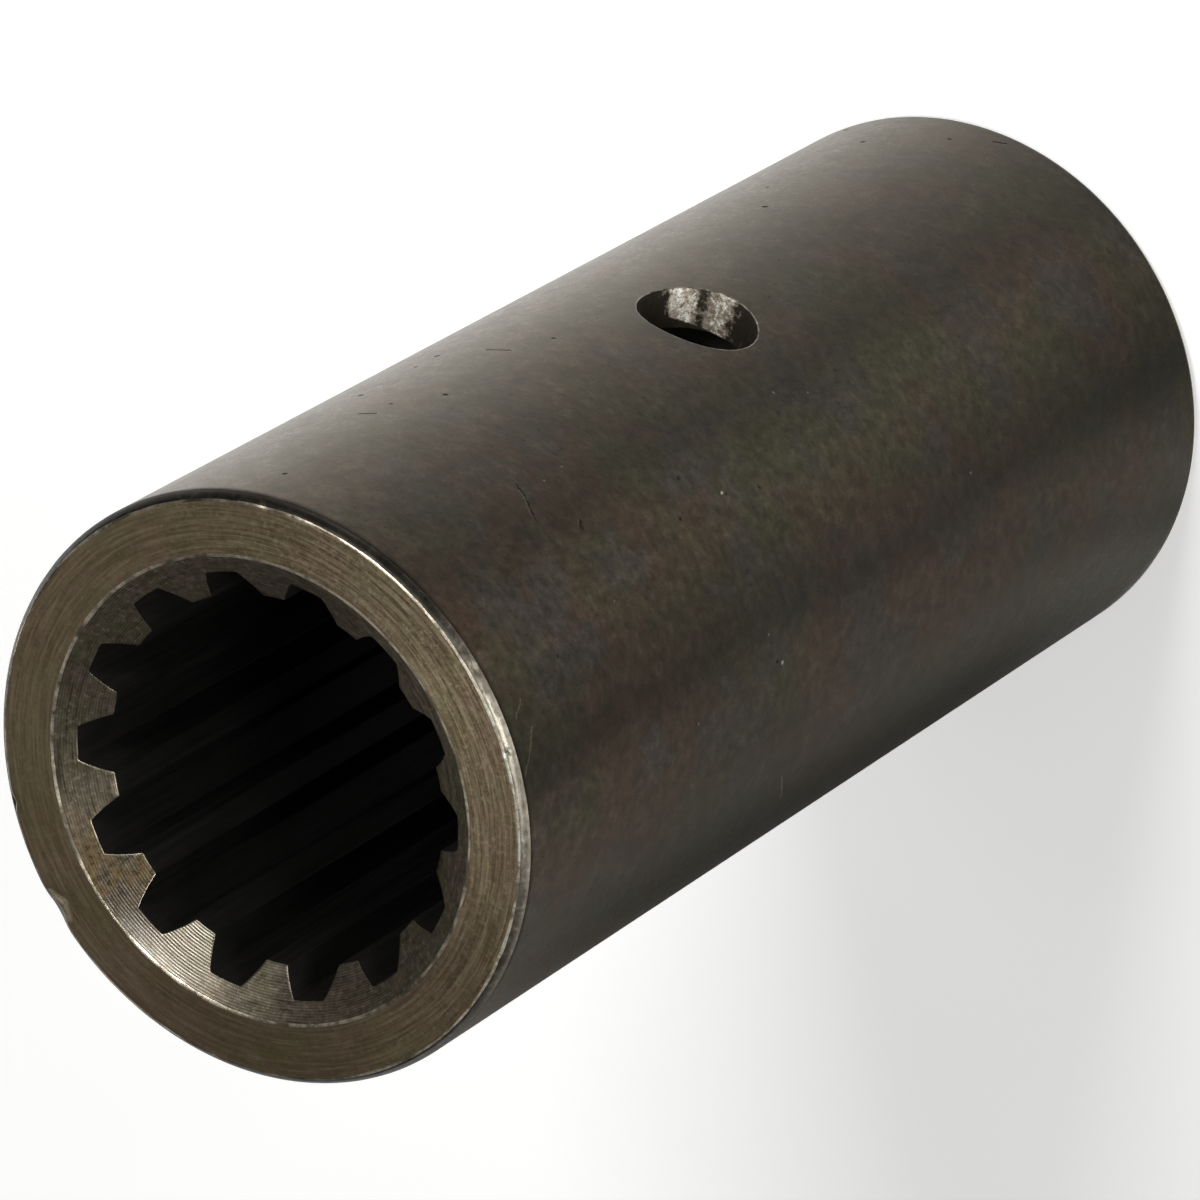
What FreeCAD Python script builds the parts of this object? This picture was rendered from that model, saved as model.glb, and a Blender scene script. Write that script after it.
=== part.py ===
import FreeCAD, Part
import os
import sys
import math
import Sketcher

# Splined shaft coupling: one steel sleeve, turned, broached and drilled.
# Millimetres. The sleeve stands on one end, its axis along +Z and the origin
# at the centre of the lower end face. The cross hole points along -Y.
#
# The order follows the way such a sleeve is made: the turned blank with its
# edge breaks and lead-in cones, the relief turned inside at mid-length, the
# spline spaces broached from end to end, then the radial hole and its edge
# break.

doc = FreeCAD.newDocument("shaft_coupling")

# ---------------------------------------------------------------- dimensions
sheet = doc.addObject("Spreadsheet::Sheet", "Dims")
sheet.Label = "Dims"

ROWS = [
    # alias, value, remark
    ("outer_radius", 17.5, "outside of the sleeve, 35 mm across"),
    ("total_length", 81.0, "end face to end face"),
    ("edge_axial", 0.54, "break of the outer edge, along the axis"),
    ("edge_radial", 0.44, "break of the outer edge, across the end face"),
    ("mouth_radius", 13.84, "outer rim of the lead-in cone, in the end face"),
    ("lead_depth", 1.87, "depth of the lead-in cone at the tips of the teeth"),
    ("minor_radius", 11.0, "tips of the internal teeth, 22 mm across"),
    ("major_radius", 12.63, "roots of the tooth spaces, about 25 mm across"),
    ("teeth", 14, "tooth spaces round the bore"),
    ("root_half_angle", 4.69, "half of a space at its root, degrees"),
    ("tip_half_angle", 9.21, "half of a space at the tips, degrees"),
    ("flank_radius", 7.0, "curve of a flank, near to a 30 degree involute"),
    ("spline_phase", 1.6, "turn of the nearest space from the radial hole, degrees"),
    ("under_radius", 9.6, "inner end of the broached section, in the open bore"),
    ("relief_radius", 14.85, "relief at mid-length"),
    ("relief_length", 12.0, "length of the relief"),
    ("relief_round", 0.6, "corner radius of the relief"),
    ("hole_radius", 3.75, "radial hole, 7.5 mm"),
    ("hole_height", 40.0, "centre of the hole above the lower end face"),
    ("hole_break", 0.12, "edge break at the mouth of the hole"),
]
for i, (alias, value, remark) in enumerate(ROWS, start=1):
    sheet.set("A%d" % i, alias)
    sheet.set("B%d" % i, repr(value))
    sheet.set("C%d" % i, remark)
    sheet.setAlias("B%d" % i, alias)
doc.recompute()


def dim(alias):
    return float(sheet.get(alias))


# ---------------------------------------------------------------------- body
body = doc.addObject("PartDesign::Body", "CouplingSleeve")
body.Label = "coupling_sleeve"


def plane(role):
    for feature in body.Origin.OriginFeatures:
        if feature.Role == role:
            return feature
    raise RuntimeError("no origin feature " + role)


def new_sketch(name, role):
    sketch = body.newObject("Sketcher::SketchObject", name)
    sketch.AttachmentSupport = [(plane(role), "")]
    sketch.MapMode = "FlatFace"
    return sketch


def v(a, b):
    return FreeCAD.Vector(a, b, 0)


def pin(sketch, geo, pos, across, up):
    """Ties one point of the sketch to the origin by two expressions."""
    for kind, expression in (("DistanceX", across), ("DistanceY", up)):
        where = sketch.getPoint(geo, pos)
        now = where.x if kind == "DistanceX" else where.y
        if expression is None:
            axis = -2 if kind == "DistanceX" else -1
            sketch.addConstraint(Sketcher.Constraint("PointOnObject", geo, pos, axis))
            continue
        c = sketch.addConstraint(Sketcher.Constraint(kind, -1, 1, geo, pos, now))
        sketch.setExpression("Constraints[%d]" % c, expression)


def closed_outline(sketch, points):
    """Straight outline through (x, y, x expression, y expression)."""
    n = len(points)
    for i in range(n):
        a, b = points[i], points[(i + 1) % n]
        sketch.addGeometry(Part.LineSegment(v(a[0], a[1]), v(b[0], b[1])), False)
    for i in range(n):
        sketch.addConstraint(Sketcher.Constraint("Coincident", i, 2, (i + 1) % n, 1))
    for i, p in enumerate(points):
        pin(sketch, i, 1, p[2], p[3])


def centre_of(shape):
    total = sum(solid.Volume for solid in shape.Solids)
    out = FreeCAD.Vector()
    for solid in shape.Solids:
        out += solid.CenterOfMass * (solid.Volume / total)
    return out


Ro, L = dim("outer_radius"), dim("total_length")
ea, er = dim("edge_axial"), dim("edge_radial")
Rm, ld, Ri = dim("mouth_radius"), dim("lead_depth"), dim("minor_radius")
Ra = dim("major_radius")

# 1. Turned blank: half section in the XZ plane, spun about the axis.
half = new_sketch("BlankSection", "XZ_Plane")
closed_outline(
    half,
    [
        (Rm, 0.0, "Dims.mouth_radius", None),
        (Ro - er, 0.0, "Dims.outer_radius - Dims.edge_radial", None),
        (Ro, ea, "Dims.outer_radius", "Dims.edge_axial"),
        (Ro, L - ea, "Dims.outer_radius", "Dims.total_length - Dims.edge_axial"),
        (Ro - er, L, "Dims.outer_radius - Dims.edge_radial", "Dims.total_length"),
        (Rm, L, "Dims.mouth_radius", "Dims.total_length"),
        (Ri, L - ld, "Dims.minor_radius", "Dims.total_length - Dims.lead_depth"),
        (Ri, ld, "Dims.minor_radius", "Dims.lead_depth"),
    ],
)
blank = body.newObject("PartDesign::Revolution", "TurnedBlank")
blank.Profile = half
blank.ReferenceAxis = (half, ["V_Axis"])
blank.Angle = 360.0
half.Visibility = False
doc.recompute()
volume_blank = blank.Shape.Volume

# 2. Relief at mid-length, turned inside the bore, with rounded corners.
Rr, rl, rr = dim("relief_radius"), dim("relief_length"), dim("relief_round")
under = dim("under_radius")
z0, z1 = L / 2 - rl / 2, L / 2 + rl / 2
relief = new_sketch("ReliefSection", "XZ_Plane")
half_pi = math.pi / 2
relief.addGeometry(Part.LineSegment(v(under, z0), v(Rr - rr, z0)), False)
relief.addGeometry(
    Part.ArcOfCircle(
        Part.Circle(v(Rr - rr, z0 + rr), FreeCAD.Vector(0, 0, 1), rr), -half_pi, 0.0
    ),
    False,
)
relief.addGeometry(Part.LineSegment(v(Rr, z0 + rr), v(Rr, z1 - rr)), False)
relief.addGeometry(
    Part.ArcOfCircle(
        Part.Circle(v(Rr - rr, z1 - rr), FreeCAD.Vector(0, 0, 1), rr), 0.0, half_pi
    ),
    False,
)
relief.addGeometry(Part.LineSegment(v(Rr - rr, z1), v(under, z1)), False)
relief.addGeometry(Part.LineSegment(v(under, z1), v(under, z0)), False)
for a, b in ((0, 1), (1, 2), (2, 3), (3, 4), (4, 5), (5, 0)):
    relief.addConstraint(Sketcher.Constraint("Coincident", a, 2, b, 1))
low = "Dims.total_length / 2 - Dims.relief_length / 2"
high = "Dims.total_length / 2 + Dims.relief_length / 2"
pin(relief, 0, 1, "Dims.under_radius", low)
pin(relief, 0, 2, "Dims.relief_radius - Dims.relief_round", low)
pin(relief, 2, 1, "Dims.relief_radius", low + " + Dims.relief_round")
pin(relief, 2, 2, "Dims.relief_radius", high + " - Dims.relief_round")
pin(relief, 4, 1, "Dims.relief_radius - Dims.relief_round", high)
pin(relief, 4, 2, "Dims.under_radius", high)
for arc in (1, 3):
    c = relief.addConstraint(Sketcher.Constraint("Radius", arc, rr))
    relief.setExpression("Constraints[%d]" % c, "Dims.relief_round")
turned = body.newObject("PartDesign::Groove", "MidRelief")
turned.Profile = relief
turned.ReferenceAxis = (relief, ["V_Axis"])
turned.Angle = 360.0
relief.Visibility = False
doc.recompute()
volume_relief = turned.Shape.Volume

# 3. One tooth space, broached along the whole bore, then repeated round it.
#    It is drawn centred on the -Y side and turned a little from there, because
#    the radial hole isn't drilled quite in line with it.
ar, at = math.radians(dim("root_half_angle")), math.radians(dim("tip_half_angle"))
fr = dim("flank_radius")
root = (Ra * math.sin(ar), -Ra * math.cos(ar))
tip = (Ri * math.sin(at), -Ri * math.cos(at))


def arc_centre(p, q, radius, side):
    """Centre of the arc from p to q, on the given side of the chord."""
    mx, my = (p[0] + q[0]) / 2, (p[1] + q[1]) / 2
    dx, dy = q[0] - p[0], q[1] - p[1]
    c = math.hypot(dx, dy)
    k = math.sqrt(radius * radius - c * c / 4) / c * side
    return mx - dy * k, my + dx * k


def flank(p, q, radius, side):
    cx, cy = arc_centre(p, q, radius, side)
    a0 = math.atan2(p[1] - cy, p[0] - cx)
    a1 = math.atan2(q[1] - cy, q[0] - cx)
    if a1 < a0:
        a1 += 2 * math.pi
    return Part.ArcOfCircle(Part.Circle(v(cx, cy), FreeCAD.Vector(0, 0, 1), radius), a0, a1)


space = new_sketch("SpaceSection", "XY_Plane")
space.AttachmentOffset = FreeCAD.Placement(
    FreeCAD.Vector(0, 0, 0),
    FreeCAD.Rotation(FreeCAD.Vector(0, 0, 1), dim("spline_phase")),
)
space.setExpression("AttachmentOffset.Rotation.Angle", "Dims.spline_phase * 1 deg")
left_in, right_in = (-tip[0], -under), (tip[0], -under)
left_tip, left_root = (-tip[0], tip[1]), (-root[0], root[1])
space.addGeometry(Part.LineSegment(v(*left_in), v(*left_tip)), False)      # 0
space.addGeometry(flank(left_tip, left_root, fr, 1), False)                # 1
space.addGeometry(                                                          # 2
    Part.ArcOfCircle(
        Part.Circle(v(0, 0), FreeCAD.Vector(0, 0, 1), Ra), -half_pi - ar, -half_pi + ar
    ),
    False,
)
space.addGeometry(flank(root, tip, fr, 1), False)                          # 3
space.addGeometry(Part.LineSegment(v(*tip), v(*right_in)), False)          # 4
space.addGeometry(Part.LineSegment(v(*right_in), v(*left_in)), False)      # 5
for a, b in ((0, 1), (1, 2), (2, 3), (3, 4), (4, 5), (5, 0)):
    space.addConstraint(Sketcher.Constraint("Coincident", a, 2, b, 1))
tip_x = "Dims.minor_radius * sin(Dims.tip_half_angle * 1 deg)"
tip_y = "-Dims.minor_radius * cos(Dims.tip_half_angle * 1 deg)"
root_x = "Dims.major_radius * sin(Dims.root_half_angle * 1 deg)"
root_y = "-Dims.major_radius * cos(Dims.root_half_angle * 1 deg)"
pin(space, 0, 1, "-" + tip_x, "-Dims.under_radius")
pin(space, 0, 2, "-" + tip_x, tip_y)
pin(space, 2, 1, "-" + root_x, root_y)
pin(space, 2, 2, root_x, root_y)
pin(space, 4, 1, tip_x, tip_y)
pin(space, 4, 2, tip_x, "-Dims.under_radius")
for arc, value, expression in (
    (1, fr, "Dims.flank_radius"),
    (2, Ra, "Dims.major_radius"),
    (3, fr, "Dims.flank_radius"),
):
    c = space.addConstraint(Sketcher.Constraint("Radius", arc, value))
    space.setExpression("Constraints[%d]" % c, expression)
broached = body.newObject("PartDesign::Pocket", "ToothSpace")
broached.Profile = space
broached.Type = "Length"
broached.Reversed = True
broached.Length = L
broached.setExpression("Length", "Dims.total_length")
space.Visibility = False
doc.recompute()
volume_space = broached.Shape.Volume

spline = body.newObject("PartDesign::PolarPattern", "Spline")
spline.Originals = [broached]
spline.Axis = (plane("Z_Axis"), [""])
spline.Angle = 360.0
spline.Occurrences = int(dim("teeth"))
spline.setExpression("Occurrences", "Dims.teeth")
body.Tip = spline
doc.recompute()
volume_spline = spline.Shape.Volume

# 4. Radial hole through the wall on the -Y side.
drill = new_sketch("HoleSection", "XZ_Plane")
hr, hz = dim("hole_radius"), dim("hole_height")
drill.addGeometry(Part.Circle(v(0, hz), FreeCAD.Vector(0, 0, 1), hr), False)
pin(drill, 0, 3, None, "Dims.hole_height")
c = drill.addConstraint(Sketcher.Constraint("Radius", 0, hr))
drill.setExpression("Constraints[%d]" % c, "Dims.hole_radius")
hole = body.newObject("PartDesign::Pocket", "RadialHole")
hole.Profile = drill
hole.Type = "Length"
hole.Reversed = True
hole.Length = Ro + 1
hole.setExpression("Length", "Dims.outer_radius + 1")
drill.Visibility = False
doc.recompute()
if centre_of(hole.Shape).y < 0:
    # the wall is missing on the wrong side
    hole.Reversed = not hole.Reversed
    doc.recompute()
volume_hole = hole.Shape.Volume

# 5. Edge break at the mouth of the hole.
rim = []
for i, edge in enumerate(hole.Shape.Edges, start=1):
    points = edge.discretize(9)
    on_outside = all(abs(math.hypot(p.x, p.y) - Ro) < 0.01 for p in points)
    round_hole = all(
        p.y < 0 and abs(math.hypot(p.x, p.z - hz) - hr) < 0.01 for p in points
    )
    if on_outside and round_hole:
        rim.append("Edge%d" % i)
if not rim:
    raise RuntimeError("the mouth of the hole was not found")
mouth = body.newObject("PartDesign::Chamfer", "HoleEdgeBreak")
mouth.Base = (hole, rim)
mouth.Size = dim("hole_break")
mouth.setExpression("Size", "Dims.hole_break")
body.Tip = mouth
doc.recompute()
body.Placement = FreeCAD.Placement(FreeCAD.Vector(0, 0, 0), FreeCAD.Rotation())
doc.recompute()

# -------------------------------------------------------------------- checks
problems = []
for obj in doc.Objects:
    if "Invalid" in obj.State or "Error" in obj.State:
        problems.append("%s: %s" % (obj.Name, obj.State))
for sketch in (half, relief, space, drill):
    if sketch.solve() != 0:
        problems.append("%s does not solve" % sketch.Name)
steps = [
    ("blank", volume_blank),
    ("relief", volume_relief),
    ("one space", volume_space),
    ("spline", volume_spline),
    ("hole", volume_hole),
    ("edge break", mouth.Shape.Volume),
]
for (name_a, a), (name_b, b) in zip(steps, steps[1:]):
    print("%-10s %10.2f mm3, %8.3f less than %s" % (name_b, b, a - b, name_a))
    if not a - b > 0.05:
        problems.append("%s cuts nothing" % name_b)
shape = body.Shape
if shape.isNull() or not shape.isValid():
    problems.append("coupling_sleeve: no valid shape")
elif len(shape.Solids) != 1:
    problems.append("coupling_sleeve: %d solids" % len(shape.Solids))
box = shape.BoundBox
print(
    "box x %.3f %.3f  y %.3f %.3f  z %.3f %.3f"
    % (box.XMin, box.XMax, box.YMin, box.YMax, box.ZMin, box.ZMax)
)
centre = centre_of(shape)
print("centre of mass %.4f %.4f %.4f" % (centre.x, centre.y, centre.z))
if problems:
    for line in problems:
        print(line)
    sys.exit(1)

# --------------------------------------------------------------------- output
os.makedirs("parts", exist_ok=True)
for part in (body,):
    part.Shape.exportStep("parts/%s.step" % part.Label)
    print("wrote parts/%s.step" % part.Label)
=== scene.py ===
import math

import bpy
import numpy as np
from mathutils import Matrix, Vector


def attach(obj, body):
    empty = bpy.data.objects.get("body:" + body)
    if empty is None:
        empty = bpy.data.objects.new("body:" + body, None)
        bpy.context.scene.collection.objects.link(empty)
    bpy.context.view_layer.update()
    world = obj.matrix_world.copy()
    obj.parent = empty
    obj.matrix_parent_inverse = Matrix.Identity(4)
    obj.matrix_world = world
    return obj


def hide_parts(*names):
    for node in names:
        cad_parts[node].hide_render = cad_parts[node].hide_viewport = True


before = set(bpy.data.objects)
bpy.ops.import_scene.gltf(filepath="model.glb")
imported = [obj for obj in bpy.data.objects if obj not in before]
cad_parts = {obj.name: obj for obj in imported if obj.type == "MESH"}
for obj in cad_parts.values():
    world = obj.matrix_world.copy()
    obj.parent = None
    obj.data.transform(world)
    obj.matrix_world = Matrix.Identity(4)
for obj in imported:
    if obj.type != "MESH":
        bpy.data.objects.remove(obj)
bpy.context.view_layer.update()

# ---------------------------------------------------------------------------------------------
# Sizes in millimetres. The mesh is worked out in millimetres and written in metres.
# ---------------------------------------------------------------------------------------------
MM = 0.001
OUTER = 17.5          # outside radius of the sleeve
LENGTH = 81.0
MID = LENGTH / 2
EDGE_AXIAL = 0.54     # break on the outer edges
EDGE_RADIAL = 0.44
MOUTH = 13.84         # radius of the lead-in cone at the end face
CONE_SLOPE = 0.6585   # drop of the cone for each millimetre of radius
ROOT = 12.63          # radius at the bottom of the tooth spaces
TIP = 11.0            # radius at the tips of the teeth
TEETH = 14
ROOT_HALF = 4.69      # half width of a space at its bottom, degrees
TIP_HALF = 9.21       # and at the tooth tips
FLANK_RADIUS = 7.0
PHASE = 1.6           # turn of the first space from -Y towards +X, degrees
RELIEF = 14.85        # relief turned inside at mid-length
RELIEF_HALF = 6.0
RELIEF_ROUND = 0.6
HOLE = 3.75           # radial hole on the -Y side
HOLE_Z = 40.0

OUT, EDGE, FACE, CONE, BORE, WALL, BREAK = range(7)   # material slots


def ring_noise(angle, lowest, highest, seed, falloff=0.5):
    """Smooth noise round the axis, between -1 and 1, the same on every run."""
    g = np.random.RandomState(seed)
    total = np.zeros_like(angle)
    for k in range(lowest, highest):
        total += g.uniform(0.4, 1.0) / (k / lowest) ** falloff * np.sin(k * angle + g.uniform(0, 2 * math.pi))
    return total / np.abs(total).max()


# ---------------------------------------------------------------------------------------------
# The spline, as one radius for each angle round the axis
# ---------------------------------------------------------------------------------------------
def corner(before, at, after):
    """Middle of a small round through a corner."""
    return 0.25 * before + 0.5 * at + 0.25 * after


def polar(radius, degrees):
    a = math.radians(degrees)
    return np.array([radius * math.cos(a), radius * math.sin(a)])


def flank_arc(count):
    """Points down one flank from the bottom of the space to the tooth tip, on an arc that widens the space."""
    a, b = polar(ROOT, ROOT_HALF), polar(TIP, TIP_HALF)
    m, chord = (a + b) / 2, b - a
    side = np.array([-chord[1], chord[0]]) / np.linalg.norm(chord)
    if side[1] < 0:
        side = -side
    centre = m - side * math.sqrt(FLANK_RADIUS ** 2 - (np.linalg.norm(chord) / 2) ** 2)
    t0 = math.atan2(*(a - centre)[::-1])
    t1 = math.atan2(*(b - centre)[::-1])
    inset = 0.05 / 1.877
    return [centre + FLANK_RADIUS * np.array([math.cos(t), math.sin(t)])
            for t in (t0 + (t1 - t0) * f for f in np.linspace(inset, 1 - inset * 1.5, count))]


def spline_columns():
    """Angle (radians, from -Y towards +X) and bore radius of every column of the mesh."""
    pitch = 360.0 / TEETH
    root_end = ROOT_HALF - math.degrees(0.06 / ROOT)
    tip_start = TIP_HALF + math.degrees(0.08 / TIP)
    bottom = [polar(ROOT, d) for d in np.linspace(-root_end, root_end, 15)]
    flank = flank_arc(8)
    land = [polar(TIP, d) for d in np.linspace(tip_start, pitch - tip_start, 13)]
    low = corner(bottom[-1], polar(ROOT, ROOT_HALF), flank[0])
    high = corner(flank[-1], polar(TIP, TIP_HALF), land[0])
    one_side = [low] + flank + [high]
    turn = math.radians(pitch)
    turned = Matrix.Rotation(turn, 2)
    other = []
    for p in reversed(one_side):                      # mirrored, at the next space
        q = turned @ Vector((p[0], -p[1]))
        other.append(np.array(q))
    pattern = bottom + one_side + land + other
    angle = np.array([math.atan2(p[1], p[0]) for p in pattern])
    radius = np.array([math.hypot(*p) for p in pattern])
    angles = np.concatenate([angle + k * turn for k in range(TEETH)]) + math.radians(PHASE)
    return angles, np.tile(radius, TEETH)


PSI, BORE_R = spline_columns()
COLUMNS = len(PSI)


# ---------------------------------------------------------------------------------------------
# Half of the section, from the middle of the outside over the end face and down the bore
# ---------------------------------------------------------------------------------------------
def half_section(seed):
    """Rings as (height over the middle, radius), each an array over the columns, and the slot of the strip after each."""
    rings, slots = [], []
    one = np.ones(COLUMNS)

    def add(height, radius, slot):
        rings.append((height * one, radius * one))
        slots.append(slot)

    H = MID
    wear_a = 0.120 + 0.045 * ring_noise(PSI, 5, 60, seed)
    wear_b = 0.085 + 0.045 * ring_noise(PSI, 4, 80, seed + 1)
    wear_c = 0.105 + 0.035 * ring_noise(PSI, 6, 70, seed + 2)
    dr, dz = EDGE_RADIAL, EDGE_AXIAL
    n = math.hypot(dr, dz)
    ur, uz = -dr / n, dz / n                          # up the broken edge
    for h in (0, 3, 6, 9, 12, 15, 18, 21, 24, 27, 30, 33, 35.5, 37.5, 38.8, 39.4):
        add(h, OUTER, OUT)
    c1 = H - dz                                       # corner of the outside and the broken edge
    add(c1 - wear_a - 0.05, OUTER, OUT)
    add(c1 - wear_a, OUTER, OUT)
    add(c1 - 0.40 * wear_a, OUTER - 0.05 * wear_a, OUT)
    add(c1 + 0.25 * (-wear_a + wear_a * uz) * 0.4, OUTER + 0.30 * wear_a * ur, BREAK)
    for f in (0.24, 0.42, 0.60, 0.78):                # the break is turned by hand, a little crowned
        crown = 0.042 * 4 * f * (1 - f)
        add(c1 + dz * f + crown * dr / n, OUTER - dr * f + crown * dz / n, BREAK)
    add(H - wear_b * uz, OUTER - dr - wear_b * ur, EDGE)
    add(H - 0.25 * wear_b * uz, OUTER - dr + 0.25 * (-wear_b * ur - wear_b), EDGE)
    add(H, OUTER - dr - wear_b, FACE)
    for r in (16.84, 16.66, 16.4, 15.9, 15.2, 14.5, 14.12):
        add(H, r, FACE)
    n2 = math.hypot(1, CONE_SLOPE)
    cr, cz = -1 / n2, -CONE_SLOPE / n2                # down the cone
    add(H, MOUTH + wear_c + 0.04, FACE)
    add(H, MOUTH + wear_c, EDGE)
    add(H + 0.25 * wear_c * cz, MOUTH + 0.25 * (wear_c + wear_c * cr), EDGE)
    add(H + wear_c * cz, MOUTH + wear_c * cr, CONE)
    inner_h = H - (MOUTH - BORE_R) * CONE_SLOPE
    e = 0.05 + 0.015 * ring_noise(PSI, 9, 90, seed + 3)
    for f in (0.12, 0.35, 0.62, 0.88):
        r = MOUTH + (BORE_R - MOUTH) * f
        add(H - (MOUTH - r) * CONE_SLOPE, r, CONE)
    add(inner_h - e * cz, BORE_R - e * cr, EDGE)
    add(inner_h + 0.25 * (-e * cz - e), BORE_R - 0.25 * e * cr, EDGE)
    add(inner_h - e, BORE_R, BORE)
    for h in (38.0, 36.0, 32.5, 28.0, 22.0, 15.0, 9.0):
        add(h, BORE_R, BORE)
    top = RELIEF_HALF                                 # shoulder of the relief
    add(top + 0.05, BORE_R, BORE)
    add(top, BORE_R + 0.05, BORE)
    add(top, RELIEF - RELIEF_ROUND, BORE)
    for a in (22.5, 45.0, 67.5, 90.0):
        add(top - RELIEF_ROUND * (1 - math.cos(math.radians(a))),
            RELIEF - RELIEF_ROUND * (1 - math.sin(math.radians(a))), BORE)
    add(3.0, RELIEF, BORE)
    return rings, slots


def dent(points, centre, normal, along, half_along, half_across, depth):
    """Presses a small smooth dent into the points near the centre."""
    normal, along = np.array(normal, float), np.array(along, float)
    normal /= np.linalg.norm(normal)
    along /= np.linalg.norm(along)
    across = np.cross(normal, along)
    d = points - np.array(centre, float)
    near = np.linalg.norm(d, axis=-1) < 3 * max(half_along, half_across)
    w = np.exp(-((d @ along / half_along) ** 2 + (d @ across / half_across) ** 2)) * near
    points -= depth * w[..., None] * normal


def at(radius, degrees, z):
    a = math.radians(degrees)
    return np.array([radius * math.sin(a), -radius * math.cos(a), z])


def out_dir(degrees):
    return at(1.0, degrees, 0.0)


def round_dir(degrees):
    a = math.radians(degrees)
    return np.array([math.cos(a), math.sin(a), 0.0])


def sleeve_mesh():
    top, top_slots = half_section(11)
    bottom, bottom_slots = half_section(53)
    rings = [(MID + h, r) for h, r in top]
    slots = list(top_slots)
    rings.append((MID * np.ones(COLUMNS), RELIEF * np.ones(COLUMNS)))
    slots.append(BORE)
    # the lower half runs the other way, so each strip takes the slot of the ring that it ends on
    for i in range(len(bottom) - 1, 0, -1):
        h, r = bottom[i]
        rings.append((MID - h, r))
        slots.append(bottom_slots[i - 1])
    z = np.array([a for a, _ in rings])
    r = np.array([b for _, b in rings])
    pts = np.stack([r * np.sin(PSI), -r * np.cos(PSI), z], -1)

    up = np.array([0, 0, 1.0])
    # knocks on the near end: a chip in the outer edge of the face, and small ones along the edge
    dent(pts, at(17.2, 141.0, 80.9), 0.45 * up + out_dir(141.0), round_dir(141.0), 0.85, 0.46, 0.30)
    dent(pts, at(16.55, 139.6, 81.0), up + 0.2 * out_dir(139.6), round_dir(139.6) - 0.4 * out_dir(139.6), 0.60, 0.26, 0.10)
    dent(pts, at(17.1, 118.6, 80.95), up + out_dir(118.6), round_dir(118.6), 0.40, 0.18, 0.13)
    dent(pts, at(17.1, -98.4, 80.95), up + out_dir(-98.4), round_dir(-98.4), 0.30, 0.18, 0.13)
    dent(pts, at(17.2, -55.8, 80.85), up + out_dir(-55.8), round_dir(-55.8), 0.13, 0.40, 0.11)
    dent(pts, at(17.35, -39.5, 80.7), 0.7 * up + out_dir(-39.5), round_dir(-39.5), 0.32, 0.20, 0.07)
    dent(pts, at(17.40, -43.5, 80.6), 0.7 * up + out_dir(-43.5), round_dir(-43.5), 0.22, 0.18, 0.05)
    dent(pts, at(17.40, -47.5, 80.6), 0.7 * up + out_dir(-47.5), round_dir(-47.5), 0.24, 0.16, 0.05)
    dent(pts, at(17.1, 12.0, 80.95), up + out_dir(12.0), round_dir(12.0), 0.35, 0.14, 0.06)
    dent(pts, at(17.2, 171.0, 80.9), up + out_dir(171.0), round_dir(171.0), 0.4, 0.15, 0.07)
    # and a few on the far end
    for psi, depth in ((25.0, 0.08), (96.0, 0.12), (163.0, 0.06), (-47.0, 0.1), (-121.0, 0.07), (-160.0, 0.1)):
        dent(pts, at(17.15, psi, 0.1), out_dir(psi) - up, round_dir(psi), 0.35, 0.18, depth)

    count = len(rings)
    index = np.arange(count * COLUMNS).reshape(count, COLUMNS)
    a = index
    b = np.roll(index, -1, 1)
    c = np.roll(b, -1, 0)
    d = np.roll(a, -1, 0)
    faces = np.stack([a, b, c, d], -1).reshape(-1, 4)
    mesh = bpy.data.meshes.new("coupling_sleeve_turned")
    mesh.from_pydata((pts.reshape(-1, 3) * MM).tolist(), [], faces.tolist())
    mesh.polygons.foreach_set("material_index", np.repeat(np.array(slots, np.int32), COLUMNS))
    mesh.update()
    return mesh


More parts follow.
